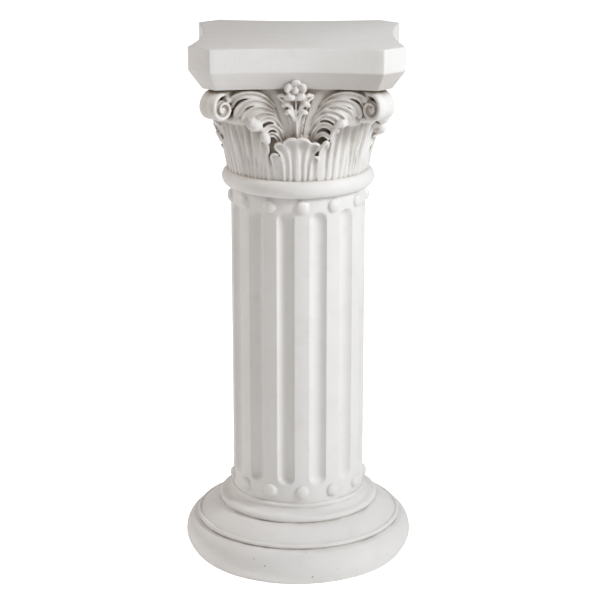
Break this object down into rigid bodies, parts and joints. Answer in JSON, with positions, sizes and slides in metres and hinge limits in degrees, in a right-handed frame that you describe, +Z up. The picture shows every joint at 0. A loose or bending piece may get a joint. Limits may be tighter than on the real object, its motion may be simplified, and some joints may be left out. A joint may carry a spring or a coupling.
{
  "type": "corinthian column pedestal",
  "caption": "Display pedestal cast as a short fluted column: round moulded base, beaded shaft, leafy capital with corner scrolls, and a square top with hollow sides and cut corners.",
  "frame": {"origin": "middle of the underside", "axes": "+Z up along the column, -Y out of the face that the picture shows, +X to its right"},
  "size_m": [0.3336, 0.3336, 0.762],
  "materials": {
    "cast_resin": "matt antique white cast resin, a little darker and warmer in the creases of the carving"
  },
  "bodies": {
    "root": {"pedestal": "cast_resin"}
  },
  "joints": []
}
